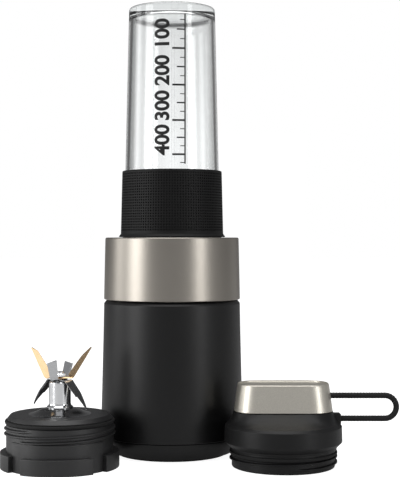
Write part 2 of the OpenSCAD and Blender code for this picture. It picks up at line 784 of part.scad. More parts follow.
// Threaded plug, band and shoulder that rises to the cap's plan, with the loop's lug
module lid_collar() {
    color("#262626") at_lid() difference() {
        union() {
            rotate_extrude() polygon([
                [lid_skirt_r - lid_wall, 0], [lid_skirt_r - 1, 0], [lid_skirt_r, 1],
                [lid_skirt_r, 4], [lid_thread_r, 5], [lid_skirt_r, 6], [lid_skirt_r, 7.6],
                [lid_thread_r, 8.6], [lid_skirt_r + 0.6, 9.6], [lid_skirt_r + 0.6, 14], [band_r - 4.2, 14.4],
                [band_r - 4.2, 15.5], [band_r, band_low], [band_r - 0.4, band_top], [band_r - 2.3, 33],
                [0, 33], [0, 30], [lid_skirt_r - lid_wall - 3, 30], [lid_skirt_r - lid_wall, 27]
            ]);
            hull() {
                translate([0, 0, 32.9]) cylinder(r = band_r - 2.3, h = 0.1, $fn = 64);
                plan_slab(cap_half_l + 3.2, cap_half_w + 9, 26, 36.7);
            }
            hull() {
                plan_slab(cap_half_l + 3.2, cap_half_w + 9, 26, 36.7);
                plan_slab(cap_half_l + 0.3, cap_half_w + 0.3, cap_corner, shoulder_top - 0.02);
            }
            translate([cap_half_l - 3, -4, 31.8]) cube([9.4, 8, 8.6]);
        }
        translate([0, 0, 20]) cylinder(r = spout_bore, h = 40);
        translate([lug_x + 1.2, 0, loop_low]) rotate([0, 90, 0]) cylinder(r = loop_r + 0.1, h = 20);
    }
}

module lid_gasket() {
    color("#1b1b1b") at_lid() translate([0, 0, 10]) ring(lid_skirt_r + 1.8, lid_skirt_r + 0.6, 2.4);
}

// Drinking spout under the cap
module drink_spout() {
    color("#2e2e2e") at_lid() translate([0, 0, shoulder_top]) rotate_extrude() polygon([
        [spout_bore, 0], [spout_r, 0], [spout_r, 9], [spout_r - 0.8, 10], [spout_bore, 10]
    ]);
}

module cap_outer(inset) {
    rise = lid_h - cap_foot;
    slope = cap_lean / rise;
    hull() {
        plan_slab(cap_half_l - inset, cap_half_w - inset, cap_corner - inset, cap_foot - (inset > 0 ? 1 : 0));
        plan_slab(cap_half_l - cap_lean - inset, cap_half_w - cap_lean - inset, cap_corner - 1 - inset,
                  lid_h - 0.02 - (inset > 0 ? cap_wall + 2.2 : 0));
    }
}

// Metal-skinned drinking cap with a raised rim round its sunk top
module drink_cap() {
    color("#b5afa4") at_lid() difference() {
        cap_outer(0);
        cap_outer(cap_wall);
        translate([0, 0, lid_h - 1.2]) linear_extrude(3) hull()
            rounded_plan(cap_half_l - cap_lean - 1.4, cap_half_w - cap_lean - 1.4, cap_corner - 2.4);
        translate([cap_half_l - 8, 0, loop_high]) rotate([0, 90, 0]) cylinder(r = loop_r + 0.1, h = 20);
    }
}

// Silicone plug under the cap that closes the spout
module cap_stopper() {
    top = lid_h - cap_wall - 2.2;
    color("#3a3a3a") at_lid() {
        translate([0, 0, shoulder_top + 1]) cylinder(r = spout_bore - gap, h = top - shoulder_top - 1);
        translate([0, 0, top - 2]) cylinder(r = spout_r, h = 2);
    }
}

// Carry loop: two straight runs and a half round, with a bead inside the cap
module carry_loop() {
    bend_x = loop_reach - loop_r - loop_bend;
    color("#161616") at_lid() {
        translate([cap_half_l - 5, 0, loop_high]) rotate([0, 90, 0])
            cylinder(r = loop_r, h = bend_x - cap_half_l + 5);
        translate([lug_x + 1.4, 0, loop_low]) rotate([0, 90, 0])
            cylinder(r = loop_r, h = bend_x - lug_x - 1.4);
        translate([bend_x, 0, (loop_high + loop_low) / 2]) rotate([90, 0, 0]) rotate([0, 0, -90])
            rotate_extrude(angle = 180) translate([loop_bend, 0]) circle(loop_r);
        translate([cap_half_l - 5.5, 0, loop_high]) sphere(r = loop_r + 0.9);
    }
}

base_shell();
metal_collar();
bottom_cover();
foot_ring();
bottom_screws();
cord_inlet();
bottle_socket();
drive_seal();
lower_bracket();
upper_bracket();
bracket_posts();
motor_dampers();
stator_core();
field_coils();
rotor_shaft();
rotor_core();
rotor_windings();
commutator();
cooling_fan();
lower_bearing();
upper_bearing();
brush_holders();
carbon_brushes();
drive_coupler();
lock_ring();
interlock_plunger();
plunger_spring();
interlock_switch();
control_board();
bottle();
grip_sleeve();
blade_cup();
cup_gasket();
hub_post();
shaft_bush();
shaft_seal();
blade_shaft();
blades_top();
blades_middle();
blades_lower();
blade_nut();
blade_coupler();
spare_blade_cup();
spare_cup_gasket();
spare_hub_post();
spare_shaft_bush();
spare_shaft_seal();
spare_blade_shaft();
spare_blades_top();
spare_blades_middle();
spare_blades_lower();
spare_blade_nut();
spare_blade_coupler();
lid_collar();
lid_gasket();
drink_spout();
drink_cap();
cap_stopper();
carry_loop();
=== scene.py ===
import json
import math

import bmesh
import bpy
from mathutils import Matrix, Vector


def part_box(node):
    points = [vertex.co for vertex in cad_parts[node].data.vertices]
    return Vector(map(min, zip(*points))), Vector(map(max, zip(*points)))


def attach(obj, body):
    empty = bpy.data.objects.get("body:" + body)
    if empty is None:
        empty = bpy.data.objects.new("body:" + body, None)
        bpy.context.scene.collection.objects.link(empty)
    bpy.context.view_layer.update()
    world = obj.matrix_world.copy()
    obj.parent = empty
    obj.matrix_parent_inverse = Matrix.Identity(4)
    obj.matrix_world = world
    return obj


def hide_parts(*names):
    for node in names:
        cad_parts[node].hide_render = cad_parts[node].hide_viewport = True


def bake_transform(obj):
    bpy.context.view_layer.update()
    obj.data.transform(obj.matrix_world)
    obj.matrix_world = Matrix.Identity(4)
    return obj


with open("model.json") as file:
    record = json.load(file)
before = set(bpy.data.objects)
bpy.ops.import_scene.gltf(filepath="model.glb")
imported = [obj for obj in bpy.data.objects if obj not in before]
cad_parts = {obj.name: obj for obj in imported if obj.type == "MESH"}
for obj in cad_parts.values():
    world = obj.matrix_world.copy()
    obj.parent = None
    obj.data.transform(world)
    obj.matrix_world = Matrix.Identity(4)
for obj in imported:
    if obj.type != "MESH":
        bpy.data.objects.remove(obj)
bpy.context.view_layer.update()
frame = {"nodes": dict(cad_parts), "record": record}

nodes = frame["nodes"]
mm = 0.001

# ---------------------------------------------------------------------------
# Camera and studio. A level camera at half the set's height, tall soft lights
# on both sides, a wide one overhead and a small card by the spare blades. The
# surround is white to the camera and a soft grey to everything else.
# ---------------------------------------------------------------------------
camera_data = bpy.data.cameras.new("camera")
camera_data.lens = 90.3
camera_data.clip_start = 0.05
camera = bpy.data.objects.new("camera", camera_data)
camera.location = (22.8 * mm, -976.8 * mm, 174.2 * mm)
camera.rotation_euler = (math.radians(90), 0, 0)
bpy.context.scene.collection.objects.link(camera)
bpy.context.scene.camera = camera
bpy.context.scene.view_settings.view_transform = "Standard"


def softbox(name, bearing, distance, height, width, tall, power):
    """An area light that stands at a bearing from the front and faces the base."""
    data = bpy.data.lights.new(name, "AREA")
    data.shape = "RECTANGLE"
    data.size = width
    data.size_y = tall
    data.energy = power
    light = bpy.data.objects.new(name, data)
    turn = math.radians(bearing)
    light.location = (math.sin(turn) * distance, -math.cos(turn) * distance, height)
    aim = Vector((0, 0, 0.16)) - light.location
    light.rotation_euler = aim.to_track_quat("-Z", "Y").to_euler()
    bpy.context.scene.collection.objects.link(light)


softbox("left_softbox", -61, 1.3, 0.28, 0.5, 0.9, 7)
softbox("right_softbox", 49, 1.4, 0.28, 0.3, 0.9, 4.0)
softbox("side_softbox", -97, 1.25, 0.3, 0.4, 1.0, 2.8)
softbox("back_right_softbox", 128, 1.2, 0.3, 0.5, 1.0, 0.3)
softbox("overhead_softbox", -10, 0.25, 1.7, 1.8, 1.8, 24)

card_data = bpy.data.lights.new("bounce_card", "AREA")
card_data.size = 0.12
card_data.energy = 0.055
bounce_card = bpy.data.objects.new("bounce_card", card_data)
bounce_card.location = (-0.225, -0.105, 0.004)
bounce_card.rotation_euler = (math.radians(180), 0, 0)
bpy.context.scene.collection.objects.link(bounce_card)

world = bpy.data.worlds.new("studio")
bpy.context.scene.world = world
world.use_nodes = True
sky = world.node_tree
sky.nodes.clear()
sky_out = sky.nodes.new("ShaderNodeOutputWorld")
seen = sky.nodes.new("ShaderNodeBackground")
seen.inputs["Color"].default_value = (1, 1, 1, 1)
around = sky.nodes.new("ShaderNodeBackground")
around.inputs["Color"].default_value = (0.9, 0.9, 0.92, 1)
ray = sky.nodes.new("ShaderNodeLightPath")
either = sky.nodes.new("ShaderNodeMath")
either.operation = "MAXIMUM"
pick = sky.nodes.new("ShaderNodeMixShader")
sky.links.new(ray.outputs["Is Camera Ray"], either.inputs[0])
sky.links.new(ray.outputs["Is Transmission Ray"], either.inputs[1])
sky.links.new(either.outputs[0], pick.inputs["Fac"])
sky.links.new(around.outputs[0], pick.inputs[1])
sky.links.new(seen.outputs[0], pick.inputs[2])
sky.links.new(pick.outputs[0], sky_out.inputs["Surface"])

# what the bottle bends into view darkens away from straight ahead
bent = sky.nodes.new("ShaderNodeNewGeometry")
parts = sky.nodes.new("ShaderNodeSeparateXYZ")
sideways = sky.nodes.new("ShaderNodeMath")
sideways.operation = "ABSOLUTE"
upright = sky.nodes.new("ShaderNodeMath")
upright.operation = "ABSOLUTE"
widest = sky.nodes.new("ShaderNodeMath")
widest.operation = "MAXIMUM"
fall = sky.nodes.new("ShaderNodeMapRange")
fall.inputs["From Min"].default_value = 0.08
fall.inputs["From Max"].default_value = 0.45
fall.inputs["To Min"].default_value = 1.02
fall.inputs["To Max"].default_value = 0.12
straight = sky.nodes.new("ShaderNodeMath")
straight.operation = "MAXIMUM"
sky.links.new(bent.outputs["Incoming"], parts.inputs[0])
sky.links.new(parts.outputs["X"], sideways.inputs[0])
sky.links.new(parts.outputs["Z"], upright.inputs[0])
sky.links.new(sideways.outputs[0], widest.inputs[0])
sky.links.new(upright.outputs[0], widest.inputs[1])
sky.links.new(widest.outputs[0], fall.inputs["Value"])
sky.links.new(fall.outputs["Result"], straight.inputs[0])
sky.links.new(ray.outputs["Is Camera Ray"], straight.inputs[1])
sky.links.new(straight.outputs[0], seen.inputs["Strength"])

# what the pieces mirror is darker behind them than in front
behind = sky.nodes.new("ShaderNodeMapRange")
behind.inputs["From Min"].default_value = -0.6
behind.inputs["From Max"].default_value = 0.3
behind.inputs["To Min"].default_value = 0.17
behind.inputs["To Max"].default_value = 0.37
sky.links.new(parts.outputs["Y"], behind.inputs["Value"])
sky.links.new(behind.outputs["Result"], around.inputs["Strength"])

# ---------------------------------------------------------------------------
# Table. A plain pale sheet that the three pieces stand on.
# ---------------------------------------------------------------------------
table_bm = bmesh.new()
bmesh.ops.create_grid(table_bm, x_segments=1, y_segments=1, size=9)
table_mesh = bpy.data.meshes.new("table_top")
table_bm.to_mesh(table_mesh)
table_bm.free()
table_top = bpy.data.objects.new("table_top", table_mesh)
bpy.context.scene.collection.objects.link(table_top)
table_finish = bpy.data.materials.new("table_white")
table_finish.use_nodes = True
table_shader = table_finish.node_tree.nodes["Principled BSDF"]
table_shader.inputs["Base Color"].default_value = (0.42, 0.42, 0.42, 1)
table_shader.inputs["Roughness"].default_value = 0.6
table_shader.inputs["Emission Strength"].default_value = 1.0
table_ray = table_finish.node_tree.nodes.new("ShaderNodeLightPath")
table_either = table_finish.node_tree.nodes.new("ShaderNodeMath")
table_either.operation = "MAXIMUM"
table_glow = table_finish.node_tree.nodes.new("ShaderNodeMix")
table_glow.data_type = "RGBA"
table_glow.inputs["A"].default_value = (0.16, 0.16, 0.16, 1)
table_glow.inputs["B"].default_value = (0.94, 0.94, 0.94, 1)
table_finish.node_tree.links.new(table_ray.outputs["Is Camera Ray"], table_either.inputs[0])
table_finish.node_tree.links.new(table_ray.outputs["Is Transmission Ray"], table_either.inputs[1])
table_finish.node_tree.links.new(table_either.outputs[0], table_glow.inputs["Factor"])
table_finish.node_tree.links.new(table_glow.outputs["Result"], table_shader.inputs["Emission Color"])
table_mesh.materials.append(table_finish)


# ---------------------------------------------------------------------------
# Body of the motor base. One tall injection-moulded shell in satin black with
# a slight flare towards the table. A fine moulded grain covers it.
# ---------------------------------------------------------------------------
def grain_group():
    """Shared surface effect: a fine grain for roughness, a slow cloud for colour and the grain as a normal."""
    group = bpy.data.node_groups.new("moulded_grain", "ShaderNodeTree")
    for label, low in (("Scale", 900.0), ("Cloud scale", 30.0), ("Depth", 0.1), ("Stretch", 1.0)):
        socket = group.interface.new_socket(label, in_out="INPUT", socket_type="NodeSocketFloat")
        socket.default_value = low
    group.interface.new_socket("Fine", in_out="OUTPUT", socket_type="NodeSocketFloat")
    group.interface.new_socket("Cloud", in_out="OUTPUT", socket_type="NodeSocketFloat")
    group.interface.new_socket("Normal", in_out="OUTPUT", socket_type="NodeSocketVector")
    tree = group.nodes
    given = tree.new("NodeGroupInput")
    put = tree.new("NodeGroupOutput")
    place = tree.new("ShaderNodeTexCoord")
    stretch = tree.new("ShaderNodeCombineXYZ")
    scaled = tree.new("ShaderNodeVectorMath")
    scaled.operation = "MULTIPLY"
    fine = tree.new("ShaderNodeTexNoise")
    fine.inputs["Detail"].default_value = 3
    cloud = tree.new("ShaderNodeTexNoise")
    cloud.inputs["Detail"].default_value = 4
    bump = tree.new("ShaderNodeBump")
    bump.inputs["Distance"].default_value = 0.0004
    links = group.links
    stretch.inputs["X"].default_value = 1
    stretch.inputs["Y"].default_value = 1
    links.new(given.outputs["Stretch"], stretch.inputs["Z"])
    links.new(place.outputs["Object"], scaled.inputs[0])
    links.new(stretch.outputs[0], scaled.inputs[1])
    links.new(scaled.outputs[0], fine.inputs["Vector"])
    links.new(place.outputs["Object"], cloud.inputs["Vector"])
    links.new(given.outputs["Scale"], fine.inputs["Scale"])
    links.new(given.outputs["Cloud scale"], cloud.inputs["Scale"])
    links.new(fine.outputs["Fac"], bump.inputs["Height"])
    links.new(given.outputs["Depth"], bump.inputs["Strength"])
    links.new(fine.outputs["Fac"], put.inputs["Fine"])
    links.new(cloud.outputs["Fac"], put.inputs["Cloud"])
    links.new(bump.outputs["Normal"], put.inputs["Normal"])
    return group


moulded_grain = grain_group()


def finish(name, dark, light, rough, metal=0.0, grain=900.0, depth=0.1, cloud=30.0, stretch=1.0, **sockets):
    """A Principled material whose colour follows a slow cloud and whose roughness and normal follow a fine grain."""
    made = bpy.data.materials.new(name)
    made.use_nodes = True
    tree = made.node_tree
    shader = tree.nodes["Principled BSDF"]
    effect = tree.nodes.new("ShaderNodeGroup")
    effect.node_tree = moulded_grain
    effect.inputs["Scale"].default_value = grain
    effect.inputs["Cloud scale"].default_value = cloud
    effect.inputs["Depth"].default_value = depth
    effect.inputs["Stretch"].default_value = stretch
    colour = tree.nodes.new("ShaderNodeMix")
    colour.data_type = "RGBA"
    colour.inputs["A"].default_value = (*dark, 1)
    colour.inputs["B"].default_value = (*light, 1)
    gloss = tree.nodes.new("ShaderNodeMapRange")
    gloss.inputs["From Min"].default_value = 0.3
    gloss.inputs["From Max"].default_value = 0.7
    gloss.inputs["To Min"].default_value = rough[0]
    gloss.inputs["To Max"].default_value = rough[1]
    tree.links.new(effect.outputs["Cloud"], colour.inputs["Factor"])
    tree.links.new(effect.outputs["Fine"], gloss.inputs["Value"])
    tree.links.new(colour.outputs["Result"], shader.inputs["Base Color"])
    tree.links.new(gloss.outputs["Result"], shader.inputs["Roughness"])
    tree.links.new(effect.outputs["Normal"], shader.inputs["Normal"])
    shader.inputs["Metallic"].default_value = metal
    for socket, value in sockets.items():
        shader.inputs[socket.replace("_", " ")].default_value = value
    return made


def turned(bm, outline, steps=160):
    """Spins an outline of (radius, height) round the upright axis into a closed skin."""
    ring = [bm.verts.new((max(r, 0.0) * mm, 0, z * mm)) for r, z in outline]
    pairs = [(a, b) for a, b in zip(ring, ring[1:]) if a.co.x > 0 or b.co.x > 0]
    if outline[0][0] > 0 or outline[-1][0] > 0:
        pairs.append((ring[-1], ring[0]))
    edges = [bm.edges.new(pair) for pair in pairs]
    bmesh.ops.spin(bm, geom=ring + edges, axis=(0, 0, 1), cent=(0, 0, 0), angle=math.tau,
                   steps=steps, use_merge=True, use_duplicate=False)
    bmesh.ops.remove_doubles(bm, verts=bm.verts, dist=1e-7)
    bmesh.ops.recalc_face_normals(bm, faces=bm.faces)


def soften(bm, width, segments, least):
    """Rounds every edge that turns by more than the least angle."""
    sharp = [e for e in bm.edges if len(e.link_faces) == 2 and e.calc_face_angle(0) > math.radians(least)]
    bmesh.ops.bevel(bm, geom=sharp, offset=width * mm, segments=segments, profile=0.5, affect="EDGES",
                    material=-1, clamp_overlap=True)


def piece(name, bm, material, body, replaces=(), at=(0, 0, 0), turn=0.0):
    """Turns a bmesh into a finished piece in its place, riding on its body."""
    bm.transform(Matrix.Translation(Vector(at) * mm) @ Matrix.Rotation(math.radians(turn), 4, "Z"))
    for face in bm.faces:
        face.smooth = True
    for edge in bm.edges:
        edge.smooth = edge.calc_face_angle(0) < math.radians(32)
    mesh = bpy.data.meshes.new(name)
    bm.to_mesh(mesh)
    bm.free()
    mesh.materials.append(material)
    made = bpy.data.objects.new(name, mesh)
    bpy.context.scene.collection.objects.link(made)
    made.modifiers.new("flat_faces_stay_flat", "WEIGHTED_NORMAL").keep_sharp = True
    if body:
        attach(made, body)
    if replaces:
        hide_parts(*replaces)
    return made


foot_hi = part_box("foot_ring")[1]
shell_lo, shell_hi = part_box("base_shell")
collar_lo, collar_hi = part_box("metal_collar")
seam_z = shell_lo.z / mm
collar_z = collar_lo.z / mm
rim_z = collar_hi.z / mm
body_r = shell_hi.x / mm
neck_top_r = 55.3
neck_z = collar_z - 3.3

body_black = finish("body_black", (0.0016, 0.0016, 0.0018), (0.0026, 0.0026, 0.0028), (0.36, 0.46),
                    grain=1500, depth=0.06, cloud=40, Specular_IOR_Level=0.38)
bm = bmesh.new()
flare = [(neck_top_r + (body_r - neck_top_r) * (k / 12) ** 1.15, neck_z - (neck_z - seam_z - 0.6) * k / 12)
         for k in range(13)]
turned(bm, [(48, neck_z + 2.9), (neck_top_r - 2.3, neck_z + 2.9), (neck_top_r - 1.9, neck_z + 2.5)]
       + flare + [(body_r - 0.5, seam_z), (body_r - 2.4, seam_z), (neck_top_r - 2.4, neck_z - 6), (48, neck_z - 4)])
soften(bm, 0.35, 3, 30)
piece("body_shell", bm, body_black, "motor_base", ["base_shell"])

# ---------------------------------------------------------------------------
# Skirt and floor. A second black moulding that closes the base from below,
# with a ring of vent slots, held by four screws under rubber dampers.
# ---------------------------------------------------------------------------
skirt_foot = 1.9
skirt_r = 49.3
floor_z = foot_hi.z / mm
bm = bmesh.new()
vent_rings = [34.5, 32.5, 21, 19]
turned(bm, [(0, floor_z), (8, floor_z)] + [(r, floor_z) for r in reversed(vent_rings)]
       + [(40, floor_z), (40, skirt_foot), (41, skirt_foot), (41, floor_z), (45.6, floor_z), (45.6, skirt_foot),
          (skirt_r, skirt_foot), (53.2, 7.4), (56.2, 12), (body_r - 0.5, seam_z - 0.4), (body_r - 2.4, seam_z - 0.4),
          (skirt_r - 1.5, floor_z + 2.5), (0, floor_z + 2.5)], steps=144)
soften(bm, 0.3, 2, 30)
slots = [f for f in bm.faces
         if f.normal.z < -0.9 and 21 * mm < f.calc_center_median().xy.length < 32.4 * mm
         and int(math.degrees(math.atan2(f.calc_center_median().y, f.calc_center_median().x)) // 2.5) % 6 == 0]
bmesh.ops.inset_region(bm, faces=slots, thickness=0.1 * mm, depth=-1.6 * mm)
piece("bottom_skirt", bm, body_black, "motor_base", ["bottom_cover"])

# ---------------------------------------------------------------------------
# Foot ring. Soft black rubber pressed into its groove, with three ribs.
# ---------------------------------------------------------------------------
rubber_black = finish("black_rubber", (0.005, 0.005, 0.005), (0.008, 0.008, 0.008), (0.62, 0.78),
                      grain=2200, depth=0.15, Specular_IOR_Level=0.3)
bm = bmesh.new()
ribs = [(r + d, z) for r in (41.6, 42.9, 44.2) for d, z in ((-0.4, 0.35), (-0.2, 0), (0.4, 0), (0.6, 0.35))]
turned(bm, [(41.2, floor_z - 0.1), (41.2, 0.5)] + ribs + [(45.3, 0.5), (45.3, floor_z - 0.1)])
piece("foot_ribs", bm, rubber_black, "motor_base", ["foot_ring"])

# ---------------------------------------------------------------------------
# Lead grommet at the back. A turned rubber bush with a flange at its foot and a wider head.
# ---------------------------------------------------------------------------
grommet_lo, grommet_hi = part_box("cord_inlet")
bm = bmesh.new()
turned(bm, [(3.6, 0.2), (7.0, 0.2), (7.0, 1.3), (5.9, 1.6), (5.9, 5.3), (7.6, 5.3), (7.9, 5.6), (7.9, 6.4),
            (7.2, 6.9), (4.4, 7.1), (3.6, 6.7)], steps=64)
bm.transform(Matrix.Rotation(math.radians(-90), 4, "X"))
piece("lead_grommet", bm, rubber_black, "motor_base", ["cord_inlet"],
      at=(0, grommet_lo.y / mm, (grommet_lo.z + grommet_hi.z) / 2 / mm))

# ---------------------------------------------------------------------------
# Collar. A spun sheet of champagne-nickel steel, satin finished, with a rolled
# rim, pressed over the body's neck.
# ---------------------------------------------------------------------------
collar_metal = finish("collar_metal", (0.34, 0.316, 0.281), (0.39, 0.362, 0.322), (0.33, 0.39), metal=1.0,
                      grain=700, depth=0.025, cloud=14, stretch=9)
collar_foot_r = collar_hi.x / mm
collar_top_r = collar_foot_r - 1.05
bm = bmesh.new()
collar_bore = 48.5
turned(bm, [(collar_foot_r - 1.4, collar_z + 0.1), (collar_foot_r - 0.5, collar_z),
            (collar_foot_r, collar_z + 0.5), (collar_foot_r - 0.5, (collar_z + rim_z) / 2),
            (collar_top_r, rim_z - 1.2), (collar_top_r - 0.2, rim_z - 0.6), (collar_top_r - 0.6, rim_z - 0.2),
            (collar_top_r - 1.1, rim_z), (collar_bore + 0.7, rim_z), (collar_bore + 0.1, rim_z - 0.4),
            (collar_bore, rim_z - 1.2), (collar_top_r - 1.9, rim_z - 1.4), (collar_top_r - 1.3, rim_z - 2.4)],
       steps=192)
piece("collar_shell", bm, collar_metal, "motor_base", ["metal_collar"])

# ---------------------------------------------------------------------------
# Socket. A black well inside the collar, with a stepped rim and four tabs that
# the cup's lugs turn under.
# ---------------------------------------------------------------------------
socket_r = 46.8
well_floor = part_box("lock_ring")[0].z / mm - 0.3
tab_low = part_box("blade_cup")[0].z / mm + 12.6


def sector(bm, r_in, r_out, low, high, first, span, steps=24):
    """A closed piece of a ring between two radii and two heights, from an angle on."""
    corners = [bm.verts.new((r * mm, 0, z * mm)) for r, z in ((r_in, low), (r_out, low), (r_out, high), (r_in, high))]
    face = bm.faces.new(corners)
    edges = list(face.edges)
    bmesh.ops.rotate(bm, verts=corners, cent=(0, 0, 0), matrix=Matrix.Rotation(math.radians(first), 3, "Z"))
    bmesh.ops.spin(bm, geom=corners + edges + [face], axis=(0, 0, 1), cent=(0, 0, 0), angle=math.radians(span),
                   steps=steps, use_duplicate=False)
    bmesh.ops.recalc_face_normals(bm, faces=bm.faces)


bm = bmesh.new()
turned(bm, [(8, well_floor - 3.5), (49, well_floor - 3.5), (49, rim_z - 4.2), (52.8, rim_z - 4.2),
            (52.8, rim_z - 1.8), (48, rim_z - 1.8), (socket_r, rim_z - 2.6), (socket_r, well_floor),
            (30, well_floor), (29, well_floor + 0.8), (18, well_floor + 0.8), (16, well_floor), (8, well_floor)])
for quarter in range(4):
    sector(bm, 43.2, socket_r + 0.4, tab_low, tab_low + 4.4, 38.5 + 90 * quarter, 13, 8)
soften(bm, 0.3, 2, 40)
piece("socket_well", bm, body_black, "motor_base", ["bottle_socket"])

# ---------------------------------------------------------------------------
# Bottle. Clear injection-stretched copolyester, mouth down, with a thick closed
# end, a narrow moulded rib down its back and a wide mouth with a plain bore.
# ---------------------------------------------------------------------------
bottle_lo, bottle_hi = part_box("bottle")
top_z = bottle_hi.z / mm
mouth_z = bottle_lo.z / mm
mouth_r = bottle_hi.x / mm
sleeve_lo, sleeve_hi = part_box("grip_sleeve")
sleeve_top = sleeve_hi.z / mm
end_r = 35.0
waist_r = 38.0
foot_bottle_r = 39.4
wall = 3.0
closed_end = 7.0

clear = bpy.data.materials.new("clear_copolyester")
clear.use_nodes = True
clear_shader = clear.node_tree.nodes["Principled BSDF"]
clear_place = clear.node_tree.nodes.new("ShaderNodeTexCoord")
clear_height = clear.node_tree.nodes.new("ShaderNodeSeparateXYZ")
# painted shade: the closed end is tinted grey to stand in for the dark band its thick end bends into view, not a tint
# of the plastic itself
closed_end_shade_mask = clear.node_tree.nodes.new("ShaderNodeMapRange")
closed_end_shade_mask.inputs["From Min"].default_value = (top_z - closed_end - 1.5) * mm
closed_end_shade_mask.inputs["From Max"].default_value = (top_z - closed_end + 1) * mm
closed_end_painted_shade = clear.node_tree.nodes.new("ShaderNodeMix")
closed_end_painted_shade.data_type = "RGBA"
closed_end_painted_shade.inputs["A"].default_value = (0.975, 0.985, 0.985, 1)
closed_end_painted_shade.inputs["B"].default_value = (0.66, 0.68, 0.68, 1)
clear.node_tree.links.new(clear_place.outputs["Object"], clear_height.inputs[0])
clear.node_tree.links.new(clear_height.outputs["Z"], closed_end_shade_mask.inputs["Value"])
clear.node_tree.links.new(closed_end_shade_mask.outputs["Result"], closed_end_painted_shade.inputs["Factor"])
clear.node_tree.links.new(closed_end_painted_shade.outputs["Result"], clear_shader.inputs["Base Color"])
clear_shader.inputs["Metallic"].default_value = 0
clear_shader.inputs["Transmission Weight"].default_value = 1
clear_shader.inputs["IOR"].default_value = 1.45
clear_effect = clear.node_tree.nodes.new("ShaderNodeGroup")
clear_effect.node_tree = moulded_grain
clear_effect.inputs["Scale"].default_value = 60
clear_effect.inputs["Depth"].default_value = 0.012
clear_effect.inputs["Stretch"].default_value = 0.15
clear_gloss = clear.node_tree.nodes.new("ShaderNodeMapRange")
clear_gloss.inputs["To Min"].default_value = 0.0
clear_gloss.inputs["To Max"].default_value = 0.03
clear.node_tree.links.new(clear_effect.outputs["Cloud"], clear_gloss.inputs["Value"])
clear.node_tree.links.new(clear_gloss.outputs["Result"], clear_shader.inputs["Roughness"])
clear.node_tree.links.new(clear_effect.outputs["Normal"], clear_shader.inputs["Normal"])


def arc(cx, cz, radius, start, end, count):
    """Points of (radius, height) along a round stretch of an outline."""
    return [(cx + radius * math.cos(math.radians(start + (end - start) * k / count)),
             cz + radius * math.sin(math.radians(start + (end - start) * k / count))) for k in range(count + 1)]


shoulder_z = 172.8
outer = [(mouth_r, mouth_z + 0.6), (mouth_r, shoulder_z)] + arc(mouth_r - 2.1, shoulder_z, 2.1, 15, 90, 4)
outer += [(foot_bottle_r + 1, shoulder_z + 2.1), (foot_bottle_r, 176.1), (waist_r, sleeve_top)]
outer += [(waist_r + (end_r - waist_r) * k / 8, sleeve_top + (top_z - 2.2 - sleeve_top) * k / 8)
          for k in range(1, 9)]
outer += arc(end_r - 2.2, top_z - 2.2, 2.2, 12, 90, 6)
cave_z = top_z - closed_end
inner = arc(end_r - wall - 4, cave_z - 4, 4, 90, 0, 6) + [(waist_r - wall, sleeve_top), (foot_bottle_r - wall, 176.6)]
inner += [(foot_bottle_r - 1, shoulder_z + 0.1)] + arc(40.4, shoulder_z - 2.2, 2.2, 90, 0, 4)
inner += [(42.6, mouth_z + 0.4), (43, mouth_z), (mouth_r - 0.5, mouth_z)]
bm = bmesh.new()
turned(bm, outer + [(0, top_z), (0, cave_z)] + inner, steps=192)
rib = [f for f in bm.faces if f.normal.y > 0.9 and abs(f.calc_center_median().x) < 1.2 * mm
       and f.calc_center_median().xy.length > 34 * mm and sleeve_top - 20 < f.calc_center_median().z / mm < top_z - 6]
bmesh.ops.inset_region(bm, faces=rib, thickness=0.12 * mm, depth=0.9 * mm)
piece("bottle_clear", bm, clear, "bottle", ["bottle"])

# ---------------------------------------------------------------------------
# Measuring scale. Black pad-printed lines and figures in millilitres, read
# from the bottle's closed end and laid on its curved wall.
# ---------------------------------------------------------------------------
print_black = finish("print_black", (0.006, 0.006, 0.006), (0.009, 0.009, 0.009), (0.38, 0.48), grain=900, depth=0.03)
floor_in = cave_z


def wall_r(z):
    """Outer radius of the bottle's tapering wall at a height."""
    return waist_r + (end_r - waist_r) * (z - sleeve_top) / (top_z - 2.2 - sleeve_top)


marks = bmesh.new()
filled = 0.0
level = floor_in
layer = 0.1
mark_step = 25.0
next_mark = mark_step
heights = {}
while level > sleeve_top + 2:
    level -= layer
    filled += math.pi * (wall_r(level) - wall) ** 2 * layer / 1000
    if filled >= next_mark:
        heights[next_mark] = level
        next_mark += mark_step


def flat_bar(bm, x0, x1, z0, z1):
    """A thin upright rectangle in the x-z plane."""
    bm.faces.new([bm.verts.new((x * mm, 0, z * mm)) for x, z in ((x0, z0), (x1, z0), (x1, z1), (x0, z1))])


rail_x = 10.6
print_lift = 0.06
for volume, z in heights.items():
    if volume % 100 == 0:
        flat_bar(marks, 1.0, rail_x, z - 0.75, z + 0.75)
        letters = bpy.data.curves.new("figures", "FONT")
        letters.body = str(int(volume))
        letters.size = 16 * mm
        letters.align_x = "LEFT"
        letters.align_y = "CENTER"
        letters.offset = 0.5 * mm
        shown = bpy.data.objects.new("figures", letters)
        outline = bpy.data.meshes.new_from_object(shown)
        outline.transform(Matrix.Translation((-6.6 * mm, 0, (z - 0.6) * mm)) @ Matrix.Rotation(math.radians(90), 4, "X")
                          @ Matrix.Rotation(math.radians(90), 4, "Z"))
        marks.from_mesh(outline)
        bpy.data.objects.remove(shown)
        bpy.data.curves.remove(letters)
        bpy.data.meshes.remove(outline)
    elif volume % 50 == 0:
        flat_bar(marks, 4.6, rail_x, z - 0.55, z + 0.55)
    else:
        flat_bar(marks, 7.2, rail_x, z - 0.35, z + 0.35)
flat_bar(marks, rail_x, rail_x + 1.2, sleeve_top + 4, floor_in - 3)
bmesh.ops.triangulate(marks, faces=marks.faces)
